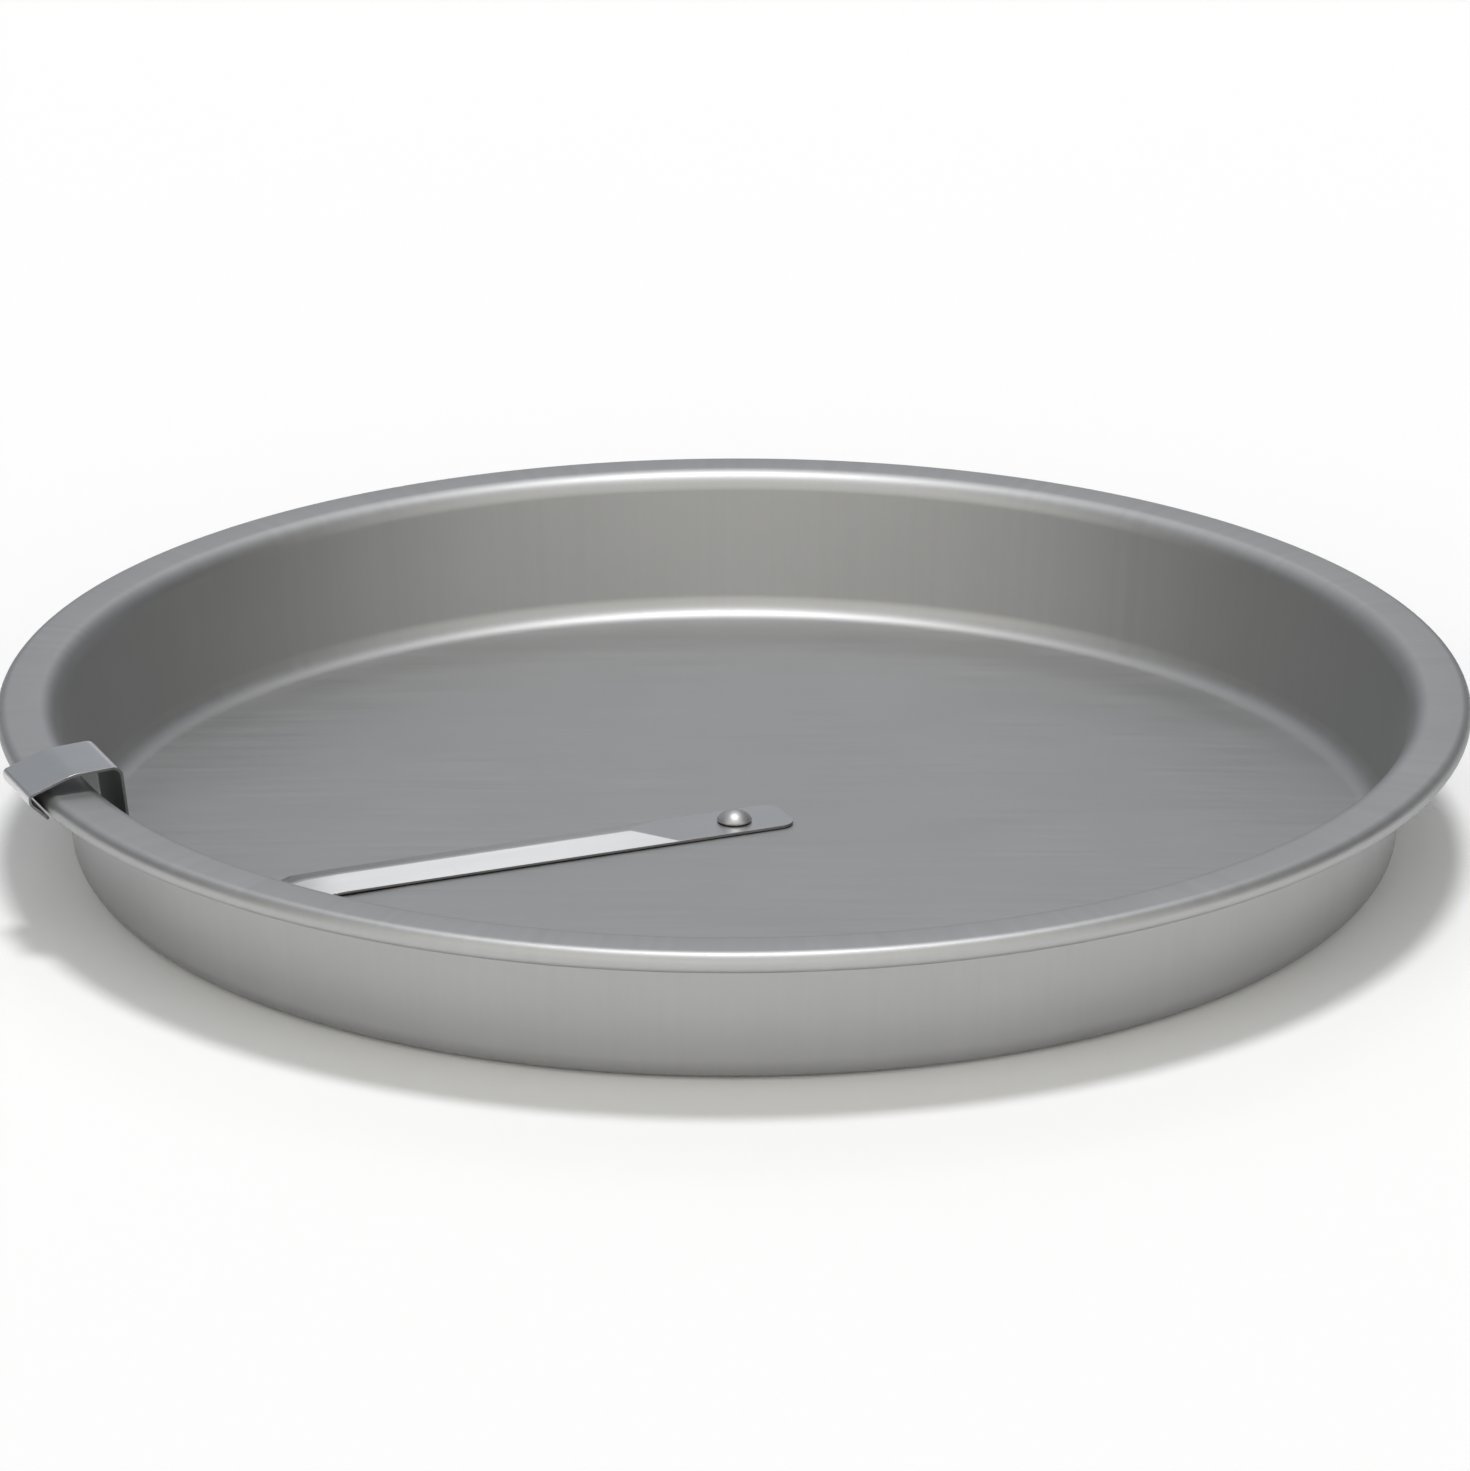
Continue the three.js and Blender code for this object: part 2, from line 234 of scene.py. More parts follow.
class CakePanArm(bpy.types.PropertyGroup):
    """Sizes of the bent strip, at the middle of the strip where a bend is meant."""

    sheet: length("Sheet", "Thickness of the strip", 0.0005)
    azimuth: angle("Azimuth", "Direction of the arm at rest", -157.25)
    width: length("Width", "Across the strip on the floor", 0.0112)
    tail: length("Tail", "Reach past the rivet", 0.010)
    tail_corner: length("Tail corner", "Radius of the corners past the rivet", 0.003)
    hole_diameter: length("Hole diameter", "Hole round the rivet", 0.0044)
    ridge_height: length("Ridge height", "Rise of the pressed ridge", 0.0014)
    ridge_start: length("Ridge start", "From the rivet to the foot of the ridge", 0.012)
    ridge_rise: length("Ridge rise", "Length of the hip at the start of the ridge", 0.008)
    ridge_fall: length("Ridge fall", "Length of the fall at the end of the ridge", 0.010)
    ridge_stop: length("Ridge stop", "From the leg back to the end of the ridge", 0.022)
    ridge_round: length("Ridge rounding", "Width of the rounding along the ridge", 0.0005)
    clip_width: length("Clip width", "Across the strip on the wall and the rim", 0.0143)
    clip_corner: length("Clip corner", "Radius of the corners of the tongue", 0.001)
    flare_stop: length("Flare stop", "From the leg back to the end of the flare", 0.010)
    flare_length: length("Flare length", "Length over which the strip widens", 0.012)
    foot_bend: length("Foot bend", "Radius between floor and leg", 0.005)
    shoulder_bend: length("Shoulder bend", "Radius between leg and bridge", 0.0018)
    crease_bend: length("Crease bend", "Radius where the bridge dips to the rim", 0.008)
    hook_bend: length("Hook bend", "Radius between bridge and hook", 0.0007)
    tongue_bend: length("Tongue bend", "Radius between hook and tongue", 0.0015)
    bridge_rise: length("Bridge rise", "Bridge above the rim at the leg", 0.0035)
    crease_rise: length("Crease rise", "Bridge above the rim at the crease", 0.00305)
    crease_inset: length("Crease inset", "From the rim edge in to the crease", 0.0048)
    hook_rise: length("Hook rise", "Bridge above the rim at the hook", 0.0004)
    hook_drop: length("Hook drop", "From the bridge down to the tongue", 0.0014)
    hook_clearance: length("Hook clearance", "Gap between the rim and the hook", 0.0025)
    tongue_clearance: length("Tongue clearance", "Gap between the curl and the tongue", 0.0004)
    tongue_reach: length("Tongue reach", "Tongue past its closest place to the curl", 0.0008)
    leg_clearance: length("Leg clearance", "Gap between the wall and the leg", 0.0032)
    run_clearance: length("Running clearance", "Gap between the floor and the strip", 0.0002)


class CakePanFinish(bpy.types.PropertyGroup):
    """Colours and sheens of the metals."""

    pan_colour: colour("Pan", "Satin sheet of the pan", (0.485, 0.486, 0.488))
    pan_roughness: factor("Pan roughness", "Sheen of the pan", 0.51)
    pan_grazing: factor("Pan grazing", "Share of the light that the pan returns at a low angle", 0.6)
    strip_colour: colour("Strip", "Bright strip of the arm", (0.605, 0.602, 0.598))
    strip_roughness: factor("Strip roughness", "Sheen of the arm", 0.3)
    rivet_colour: colour("Rivet", "Rivet head", (0.48, 0.48, 0.48))
    rivet_roughness: factor("Rivet roughness", "Sheen of the rivet", 0.47)
    # Darker steel for the strip's cut edges and underside: partly their duller finish, partly painted shade
    # on the leg's back face by the wall and under the bridge
    dull_and_shaded_colour: colour("Dull and shaded strip", "Cut edges and underside of the strip", (0.26, 0.26, 0.265))
    dull_roughness: factor("Dull roughness", "Sheen of the cut edges and the underside", 0.5)


class CakePanStage(bpy.types.PropertyGroup):
    """Camera, lamps and surroundings."""

    camera_place: location("Camera place", "Where the camera stands", (0.0, -1.2923, 0.4903))
    camera_pitch: angle("Camera pitch", "How far the camera looks down", 20.07)
    camera_roll: angle("Camera roll", "Turn of the camera about its view", -0.107)
    camera_lens: level("Lens", "Focal length in millimetres", 190.02)
    camera_shift: level("Shift", "Sideways shift of the picture, as a share of its width", 0.0005)
    floor_size: length("Floor size", "Radius of the floor", 3.0)
    floor_drop: length("Floor drop", "From the pan's underside down to the floor", 0.00005)
    floor_colour: colour("Floor", "Pale floor", (0.985, 0.985, 0.985))
    room_level: level("Room level", "Brightness of the room's soft patches", 1.0)
    key_power: level("Key power", "Power of the soft lamp above the pan", 1.38)
    key_spread: angle("Key spread", "How wide the soft lamp above looks", 12)
    key_back: angle("Key back", "Lean of the lamp above towards the back", 4.0)
    key_right: angle("Key right", "Lean of the lamp above towards the right", 1.5)
    card_power: level("Card power", "Power of the soft box behind the pan", 0.88)
    card_width: length("Card width", "Width of the soft box", 0.44)
    card_height: length("Card height", "Height of the soft box", 0.34)
    card_distance: length("Card distance", "From the blade to the soft box", 2.0)
    card_target: location("Card target", "Place on the blade that mirrors it", (-0.045, -0.022, 0.003))
    card_aim: direction("Card aim", "From the blade towards the soft box", (0.07, 0.683, 0.727))


class CakePanSettings(bpy.types.PropertyGroup):
    """All settings of the pan."""

    body: PointerProperty(type=CakePanBody, name="Body", description="The pan")
    rivet: PointerProperty(type=CakePanRivet, name="Rivet", description="The pivot rivet")
    arm: PointerProperty(type=CakePanArm, name="Arm", description="The cutter arm")
    finish: PointerProperty(type=CakePanFinish, name="Finish", description="Metals")
    stage: PointerProperty(type=CakePanStage, name="Stage", description="Studio")


def lay_wire(bm, points):
    """A chain of edges through points of (radius, height) in the XZ plane."""
    verts = [bm.verts.new((x, 0.0, z)) for x, z in points]
    for first, second in zip(verts, verts[1:]):
        bm.edges.new((first, second))
    return verts


def round_points(bm, verts, setback, segments=BEND_SEGMENTS):
    """Rounds a wire or a sheet at some points, from a distance before each to the same distance after it."""
    return bmesh.ops.bevel(
        bm, geom=verts, offset=setback, affect="VERTICES", segments=segments, profile=0.5, material=-1
    )


def bend_corner(bm, vert, radius):
    """Bends a wire at one corner to a radius."""
    before, after = (edge.other_vert(vert).co - vert.co for edge in vert.link_edges)
    round_points(bm, [vert], radius / math.tan(before.angle(after) / 2))


def sweep_point(bm, vert, centre, turn, steps):
    """Draws an arc of wire from one end point, about an axis along Y."""
    bmesh.ops.spin(
        bm,
        geom=[vert],
        cent=(centre[0], 0.0, centre[1]),
        axis=(0, 1, 0),
        angle=turn,
        steps=steps,
        use_merge=False,
    )


def turn_round(bm, steps):
    """Turns a wire all the way round the pan's axis."""
    bmesh.ops.spin(
        bm,
        geom=bm.verts[:] + bm.edges[:],
        cent=(0, 0, 0),
        axis=(0, 0, 1),
        angle=math.tau,
        steps=steps,
        use_merge=True,
    )
    clean(bm)


def clean(bm):
    """Merges doubles and turns all faces to one side."""
    bmesh.ops.remove_doubles(bm, verts=bm.verts, dist=SAME_PLACE)
    bmesh.ops.recalc_face_normals(bm, faces=bm.faces)


def add_piece(name, bm, material):
    """A shown object at the origin made from a bmesh, smooth shaded."""
    mesh = bpy.data.meshes.new(name)
    bm.to_mesh(mesh)
    bm.free()
    mesh.shade_smooth()
    mesh.materials.append(material)
    piece = bpy.data.objects.new(name, mesh)
    bpy.context.scene.collection.objects.link(piece)
    return piece


def add_thickness(piece, sheet):
    """Even thickness about the middle of a sheet."""
    solid = piece.modifiers.new("Sheet", "SOLIDIFY")
    solid.thickness = sheet
    solid.offset = 0.0
    solid.use_even_offset = True
    return solid


def add_edge_rounding(piece, width):
    """Small rounding along cut edges, with clean shading beside it."""
    edge = piece.modifiers.new("Edges", "BEVEL")
    edge.width = width
    edge.segments = EDGE_SEGMENTS
    edge.limit_method = "ANGLE"
    edge.angle_limit = EDGE_LIMIT
    edge.harden_normals = True


def mouth_radius(body):
    """Radius where the wall's middle surface would meet the flange's."""
    return body.rim_diameter / 2 - body.flange_width


def wall_radius(body, z):
    """Radius of the wall's middle surface at a height."""
    return mouth_radius(body) - (body.height - body.sheet / 2 - z) * math.tan(body.wall_taper)


def curl_centre(body):
    """Radius and height of the middle of the curled rim."""
    radius = body.curl_diameter / 2
    return body.rim_diameter / 2 - radius, body.height - radius


def bearing_radius(body):
    """Inner radius of the flat ring that the pan stands on."""
    setback = body.floor_bend * math.tan((math.pi / 2 - body.wall_taper) / 2)
    return wall_radius(body, body.sheet / 2) - setback - body.bearing_width


def node_group(name, inputs, outputs):
    """A shader node group with float or vector sockets, and its two end nodes."""
    group = bpy.data.node_groups.new(name, "ShaderNodeTree")
    for socket, kind in inputs:
        group.interface.new_socket(socket, in_out="INPUT", socket_type=kind)
    for socket, kind in outputs:
        group.interface.new_socket(socket, in_out="OUTPUT", socket_type=kind)
    return group, group.nodes.new("NodeGroupInput"), group.nodes.new("NodeGroupOutput")


def noise(nodes, links, vector, scale=1.0, detail=2.0, roughness=0.5):
    """A noise value on a vector."""
    node = nodes.new("ShaderNodeTexNoise")
    node.inputs["Scale"].default_value = scale
    node.inputs["Detail"].default_value = detail
    node.inputs["Roughness"].default_value = roughness
    links.new(vector, node.inputs["Vector"])
    return node.outputs["Fac"]


def stretch(nodes, links, vector, scale, turn=0.0):
    """A vector in axes turned about Z, scaled along each of them."""
    node = nodes.new("ShaderNodeMapping")
    node.vector_type = "TEXTURE"
    node.inputs["Rotation"].default_value = (0.0, 0.0, turn)
    node.inputs["Scale"].default_value = [1 / part for part in scale]
    links.new(vector, node.inputs["Vector"])
    return node.outputs["Vector"]


def maths(nodes, links, operation, first, second=0.0):
    """One arithmetic step on one or two sockets or numbers."""
    node = nodes.new("ShaderNodeMath")
    node.operation = operation
    for socket, value in zip(node.inputs, (first, second)):
        if isinstance(value, (int, float)):
            socket.default_value = value
        else:
            links.new(value, socket)
    return node.outputs[0]


def remap(nodes, links, value, low, high, band, smooth=False):
    """A value in a band taken to the span from low to high."""
    node = nodes.new("ShaderNodeMapRange")
    node.interpolation_type = "SMOOTHSTEP" if smooth else "LINEAR"
    node.inputs["From Min"].default_value = band[0]
    node.inputs["From Max"].default_value = band[1]
    node.inputs["To Min"].default_value = low
    node.inputs["To Max"].default_value = high
    links.new(value, node.inputs["Value"])
    return node.outputs["Result"]


def swing(nodes, links, value, middle, reach):
    """A noise value spread to both sides of a middle."""
    return remap(nodes, links, value, middle - reach, middle + reach, NOISE_BAND)


def mix_vectors(nodes, links, share, first, second):
    """One vector where the share is 0, another where it is 1, and a blend between."""
    mix = nodes.new("ShaderNodeMix")
    mix.data_type = "VECTOR"
    sockets = {socket.identifier: socket for socket in mix.inputs}
    links.new(share, sockets["Factor_Float"])
    links.new(first, sockets["A_Vector"])
    links.new(second, sockets["B_Vector"])
    return next(socket for socket in mix.outputs if socket.identifier == "Result_Vector")


def sheet_grain():
    """Shared marks of worked sheet: clouds, streaks along the work, scratches, smudges and pores."""
    name = "Sheet grain"
    if name in bpy.data.node_groups:
        return bpy.data.node_groups[name]
    vector = "NodeSocketVector"
    value = "NodeSocketFloat"
    group, start, end = node_group(
        name,
        [("Place", vector), ("Along", vector)],
        [("Cloud", value), ("Streak", value), ("Mark", value), ("Height", value)],
    )
    nodes, links = group.nodes, group.links
    place, along = start.outputs["Place"], start.outputs["Along"]
    cloud = noise(nodes, links, place, CLOUD_SCALE, detail=3.0)
    streak = noise(nodes, links, along, detail=3.0, roughness=0.6)
    pores = noise(nodes, links, place, PORE_SCALE, detail=1.0)
    skewed = stretch(nodes, links, place, SCRATCH_SCALE, SCRATCH_TURN)
    hairline = noise(nodes, links, skewed, detail=1.0)
    scratch = remap(nodes, links, hairline, 0.0, 1.0, SCRATCH_BAND, smooth=True)
    patchy = noise(nodes, links, place, SMUDGE_SCALE, detail=4.0, roughness=0.6)
    smudge = remap(nodes, links, patchy, 0.0, SMUDGE_SHARE, SMUDGE_BAND, smooth=True)
    raised = maths(nodes, links, "ADD", maths(nodes, links, "MULTIPLY", streak, STREAK_HEIGHT), pores)
    cut = maths(nodes, links, "MULTIPLY", scratch, SCRATCH_DEPTH)
    links.new(cloud, end.inputs["Cloud"])
    links.new(streak, end.inputs["Streak"])
    links.new(maths(nodes, links, "MAXIMUM", scratch, smudge), end.inputs["Mark"])
    links.new(maths(nodes, links, "SUBTRACT", raised, cut), end.inputs["Height"])
    return group


def drawn_along(nodes, links, place, floor_grain, wall_start):
    """Grain of a drawn pan: straight as rolled on its floor, and up the wall where the sheet was drawn."""
    split = nodes.new("ShaderNodeSeparateXYZ")
    links.new(place, split.inputs["Vector"])
    flat = nodes.new("ShaderNodeCombineXYZ")
    links.new(split.outputs["X"], flat.inputs["X"])
    links.new(split.outputs["Y"], flat.inputs["Y"])
    radius = nodes.new("ShaderNodeVectorMath")
    radius.operation = "LENGTH"
    links.new(flat.outputs["Vector"], radius.inputs[0])
    outward = nodes.new("ShaderNodeVectorMath")
    outward.operation = "NORMALIZE"
    links.new(flat.outputs["Vector"], outward.inputs[0])
    up_wall = stretch(nodes, links, outward.outputs["Vector"], WALL_STREAKS)
    blend = (wall_start - WALL_BLEND, wall_start + WALL_BLEND)
    on_wall = remap(nodes, links, radius.outputs["Value"], 0.0, 1.0, blend, smooth=True)
    return mix_vectors(nodes, links, on_wall, stretch(nodes, links, place, floor_grain), up_wall)


def metal(name, base, roughness, grain, turn=0.0, grazing=1.0, wall_start=None):
    """Sheet metal whose colour, sheen and relief vary with its grain.

    The grain runs in axes turned about Z, or on a drawn pan up the wall from the radius where it starts.
    Grazing is the share of the light that comes back at a low angle.
    """
    material = bpy.data.materials.new(name)
    material.use_nodes = True
    nodes, links = material.node_tree.nodes, material.node_tree.links
    shader = nodes["Principled BSDF"]
    shader.inputs["Metallic"].default_value = 1.0
    shader.inputs["Specular Tint"].default_value = (grazing, grazing, grazing, 1.0)
    place = nodes.new("ShaderNodeTexCoord").outputs["Object"]
    if wall_start:
        along = drawn_along(nodes, links, place, grain.along, wall_start)
    else:
        along = stretch(nodes, links, place, grain.along, turn)
    own_place = nodes.new("ShaderNodeVectorMath")
    own_place.operation = "ADD"
    own_place.inputs[1].default_value = (grain.place, 0.0, 0.0)
    links.new(place, own_place.inputs[0])
    marks = nodes.new("ShaderNodeGroup")
    marks.node_tree = sheet_grain()
    links.new(own_place.outputs["Vector"], marks.inputs["Place"])
    links.new(along, marks.inputs["Along"])
    cloud, streak = marks.outputs["Cloud"], marks.outputs["Streak"]
    tone = maths(
        nodes,
        links,
        "MULTIPLY",
        swing(nodes, links, cloud, 1.0, grain.cloudiness),
        swing(nodes, links, streak, 1.0, STREAK_TONE * grain.cloudiness),
    )
    tint = nodes.new("ShaderNodeVectorMath")
    tint.operation = "SCALE"
    tint.inputs[0].default_value = base
    links.new(tone, tint.inputs["Scale"])
    links.new(tint.outputs["Vector"], shader.inputs["Base Color"])
    sheen = swing(nodes, links, streak, roughness, STREAK_SHEEN)
    worn = maths(nodes, links, "MULTIPLY", marks.outputs["Mark"], MARK_SHEEN)
    links.new(maths(nodes, links, "ADD", sheen, worn), shader.inputs["Roughness"])
    bump = nodes.new("ShaderNodeBump")
    bump.inputs["Strength"].default_value = RELIEF_STRENGTH
    bump.inputs["Distance"].default_value = grain.relief
    links.new(marks.outputs["Height"], bump.inputs["Height"])
    links.new(bump.outputs["Normal"], shader.inputs["Normal"])
    return material


class CAKEPAN_OT_body(bpy.types.Operator):
    """Build the drawn sheet pan: floor, wall, flange and curled rim"""

    bl_idname = "cake_pan.body"
    bl_label = "Pan Body"
    bl_options = {"REGISTER", "UNDO"}

    def execute(self, context):
        body = context.scene.cake_pan.body
        finish = context.scene.cake_pan.finish
        half = body.sheet / 2
        curl_x, curl_z = curl_centre(body)
        bm = bmesh.new()
        wire = lay_wire(
            bm,
            [
                (body.hole_diameter / 2, body.crown + half),
                (body.level_diameter / 2, body.crown + half),
                (bearing_radius(body), half),
                (wall_radius(body, half), half),
                (mouth_radius(body), body.height - half),
                (curl_x, body.height - half),
            ],
        )
        level_edge, ring, base, mouth = wire[1:-1]
        bend_corner(bm, base, body.floor_bend)
        bend_corner(bm, mouth, body.flange_bend)
        round_points(bm, [level_edge], body.crown_blend)
        round_points(bm, [ring], body.bearing_width * RING_EASING)
        ends = [vert for vert in bm.verts if len(vert.link_edges) == 1]
        rim = max(ends, key=lambda vert: vert.co.x)
        sweep_point(bm, rim, (curl_x, curl_z), body.curl_turn, 3 * BEND_SEGMENTS)
        turn_round(bm, body.turn_steps)
        material = metal(
            "Pan steel",
            finish.pan_colour,
            finish.pan_roughness,
            PAN_GRAIN,
            grazing=finish.pan_grazing,
            wall_start=wall_radius(body, half) - body.floor_bend / 2,
        )
        pan = add_piece("pan_sheet", bm, material)
        add_thickness(pan, body.sheet)
        add_edge_rounding(pan, body.sheet * SHEET_ROUNDING)
        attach(pan, "pan")
        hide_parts("pan_body")
        return {"FINISHED"}


class CAKEPAN_OT_rivet(bpy.types.Operator):
    """Build the domed rivet at the middle of the floor"""

    bl_idname = "cake_pan.rivet"
    bl_label = "Pivot Rivet"
    bl_options = {"REGISTER", "UNDO"}

    def execute(self, context):
        settings = context.scene.cake_pan
        rivet, body, arm, finish = settings.rivet, settings.body, settings.arm, settings.finish
        seat = body.crown + body.sheet
        under_head = seat + arm.sheet + 2 * arm.run_clearance
        head = rivet.head_diameter / 2
        dome_base = under_head + rivet.head_edge
        dome_height = rivet.head_height - rivet.head_edge
        dome_radius = (head**2 + dome_height**2) / (2 * dome_height)
        dome_centre = (0.0, dome_base + dome_height - dome_radius)
        dome_turn = math.asin(head / dome_radius)
        bottom = body.crown - rivet.tail_height
        bm = bmesh.new()
        wire = lay_wire(
            bm,
            [
                (0.0, bottom),
                (rivet.tail_diameter / 2, bottom),
                (rivet.tail_diameter / 2, body.crown),
                (rivet.tenon_diameter / 2, body.crown),
                (rivet.tenon_diameter / 2, seat),
                (rivet.shoulder_diameter / 2, seat),
                (rivet.shoulder_diameter / 2, under_head),
                (head, under_head),
                (head, dome_base),
            ],
        )
        sweep_point(bm, wire[-1], dome_centre, -dome_turn, 2 * BEND_SEGMENTS)
        round_points(bm, [wire[1]], rivet.tail_height * TAIL_ROUNDING, RIVET_TAIL_SEGMENTS)
        turn_round(bm, rivet.turn_steps)
        material = metal("Rivet steel", finish.rivet_colour, finish.rivet_roughness, RIVET_GRAIN)
        piece = add_piece("domed_rivet", bm, material)
        add_edge_rounding(piece, rivet.head_edge * HEAD_ROUNDING)
        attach(piece, "pan")
        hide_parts("pivot_rivet")
        return {"FINISHED"}


def leg_radius(body, arm, z):
    """Distance of the leg from the rivet at a height; it stands parallel to the wall."""
    spacing = body.sheet / 2 + arm.leg_clearance + arm.sheet / 2
    return wall_radius(body, z) - spacing / math.cos(body.wall_taper)


def blade_height(body, arm, distance):
    """Middle of the strip above the crowned floor, at a distance from the rivet."""
    pad = body.crown + body.sheet + arm.run_clearance + arm.sheet / 2
    start = body.level_diameter / 2
    fall = (distance - start) / (bearing_radius(body) - start)
    return pad - body.crown * min(max(fall, 0.0), 1.0)


def foot_place(body, arm):
    """Distance from the rivet and height of the corner between the blade and the leg."""
    height = blade_height(body, arm, bearing_radius(body))
    return leg_radius(body, arm, height), height


def tongue_end(body, arm, start):
    """End of the tongue, which runs from the hook past the underside of the curl."""
    to_curl = Vector(curl_centre(body)) - Vector(start)
    spacing = body.curl_diameter / 2 + arm.tongue_clearance + arm.sheet / 2
    heading = math.atan2(to_curl.y, to_curl.x) + math.asin(spacing / to_curl.length)
    inward = Vector((math.cos(heading), math.sin(heading)))
    return Vector(start) + inward * (inward.dot(to_curl) + arm.tongue_reach)


def blade_half_width(body, arm, distance):
    """Half the width of the strip at a distance from the rivet."""
    stop = foot_place(body, arm)[0] - arm.flare_stop
    share = min(max((distance - stop + arm.flare_length) / arm.flare_length, 0.0), 1.0)
    eased = share * share * (3 - 2 * share)
    return (arm.width + (arm.clip_width - arm.width) * eased) / 2


def side_of(vert):
    """Side of the strip's middle line that a point lies on: -1, 0 for on it, or 1."""
    return (vert.co.y > SAME_PLACE) - (vert.co.y < -SAME_PLACE)


def blade_verts(bm, body):
    """Points of the part of the strip that lies on the floor."""
    return [vert for vert in bm.verts if vert.co.z < body.height / 4]


def border_verts(bm, arm):
    """Points along the strip's long edges."""
    return [vert for vert in bm.verts if abs(vert.co.y) > arm.width / 4]


class CAKEPAN_OT_arm(bpy.types.Operator):
    """Build the cutter arm: pivot eye, ridged blade, leg, bridge and hook bent from one strip"""

    bl_idname = "cake_pan.arm"
    bl_label = "Cutter Arm"
    bl_options = {"REGISTER", "UNDO"}

    def execute(self, context):
        settings = context.scene.cake_pan
        body, arm, finish = settings.body, settings.arm, settings.finish
        bm = bmesh.new()
        self.bend_strip(bm, body, arm)
        self.draw_out(bm, body, arm)
        self.press_ridge(bm, body, arm)
        self.pierce_eye(bm, body, arm)
        self.round_corners(bm, body, arm)
        clean(bm)
        self.keep_folds_crisp(bm)
        self.face_up(bm)
        bmesh.ops.rotate(bm, verts=bm.verts, cent=(0, 0, 0), matrix=Matrix.Rotation(arm.azimuth, 3, "Z"))
        bright = metal("Strip steel", finish.strip_colour, finish.strip_roughness, STRIP_GRAIN, arm.azimuth)
        # The second material is partly the duller finish of the cut edges and partly painted shade: its
        # darker underside stands in for the shade by the wall and under the bridge
        dull_and_shaded = metal("Dull and shaded strip", finish.dull_and_shaded_colour, finish.dull_roughness, DULL_GRAIN)
        piece = add_piece("cutter_strip", bm, bright)
        piece.data.materials.append(dull_and_shaded)
        thickness = add_thickness(piece, arm.sheet)
        thickness.material_offset = 1
        thickness.material_offset_rim = 1
        add_edge_rounding(piece, arm.sheet * SHEET_ROUNDING)
        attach(piece, "cutter")
        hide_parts("cutter_arm")
        return {"FINISHED"}

    def ridge_marks(self, body, arm):
        """Distances from the rivet where the ridge starts, is full, starts to fall and has ended."""
        end = foot_place(body, arm)[0] - arm.ridge_stop
        return arm.ridge_start, arm.ridge_start + arm.ridge_rise, end - arm.ridge_fall, end

    def bend_strip(self, bm, body, arm):
        """The strip from the side, bent at the foot, the shoulder, the crease, the hook and the tongue."""
        rim = body.rim_diameter / 2
        foot = foot_place(body, arm)
        bridge = body.height + arm.bridge_rise
        hook = rim + arm.hook_clearance + arm.sheet / 2
        hook_top = body.height + arm.hook_rise
        tongue = (hook, hook_top - arm.hook_drop)
        bends = [
            (foot, arm.foot_bend),
            ((leg_radius(body, arm, bridge), bridge), arm.shoulder_bend),
            ((rim - arm.crease_inset, body.height + arm.crease_rise), arm.crease_bend),
            ((hook, hook_top), arm.hook_bend),
            (tongue, arm.tongue_bend),
        ]
        flare_stop = foot[0] - arm.flare_stop
        flare_step = arm.flare_length / FLARE_STEPS
        marks = [-arm.tail, -arm.hole_diameter, 0.0, arm.hole_diameter]
        marks += self.ridge_marks(body, arm)
        marks += [body.level_diameter / 2, bearing_radius(body)]
        marks += [flare_stop - flare_step * step for step in range(FLARE_STEPS + 1)]
        marks = sorted({round(distance, MARK_DECIMALS) for distance in marks})
        points = [(distance, blade_height(body, arm, distance)) for distance in marks]
        points += [corner for corner, _ in bends]
        points.append(tongue_end(body, arm, tongue))
        wire = lay_wire(bm, points)
        for vert, (_, radius) in zip(wire[len(marks) :], bends):
            bend_corner(bm, vert, radius)

    def draw_out(self, bm, body, arm):
        """Draws the bent line out to -1, 0 and 1 half widths; the middle rail is for the ridge."""
        bmesh.ops.translate(bm, verts=bm.verts, vec=(0, -1, 0))
        edges = bm.edges[:]
        for _ in range(2):
            drawn = bmesh.ops.extrude_edge_only(bm, edges=edges)["geom"]
            verts = [item for item in drawn if isinstance(item, bmesh.types.BMVert)]
            edges = [item for item in drawn if isinstance(item, bmesh.types.BMEdge)]
            edges = [edge for edge in edges if all(vert in verts for vert in edge.verts)]
            bmesh.ops.translate(bm, verts=verts, vec=(0, 1, 0))
        for vert in bm.verts:
            vert.co.y *= blade_half_width(body, arm, vert.co.x)

    def press_ridge(self, bm, body, arm):
        """Lifts the middle rail between its marks, folds the hips at its ends and rounds the folds."""
        start, full, fall, end = self.ridge_marks(body, arm)
        on_floor = blade_verts(bm, body)
        for vert in on_floor:
            if side_of(vert) == 0:
                rise = min((vert.co.x - start) / (full - start), (end - vert.co.x) / (end - fall), 1.0)
                vert.co.z += arm.ridge_height * max(rise, 0.0)

        def at(x, side):
            row = [vert for vert in on_floor if side_of(vert) == side]
            return min(row, key=lambda vert: abs(vert.co.x - x))

        def on_ridge(vert):
            return side_of(vert) == 0 and full - MARK_REACH < vert.co.x < end + MARK_REACH

        folds = []
        for side in (-1, 1):
            for edge_x, ridge_x in ((start, full), (fall, end)):
                cut = bmesh.ops.connect_verts(bm, verts=[at(edge_x, side), at(ridge_x, 0)])
                folds += cut["edges"]
        folds += [edge for edge in bm.edges if all(on_ridge(vert) for vert in edge.verts)]
        rounded = bmesh.ops.bevel(
            bm,
            geom=folds,
            offset=arm.ridge_round,
            affect="EDGES",
            segments=FOLD_SEGMENTS,
            profile=0.5,
            material=-1,
        )
        for edge in bm.edges:
            sides = [face in rounded["faces"] for face in edge.link_faces]
            edge.smooth = all(sides) or not any(sides)

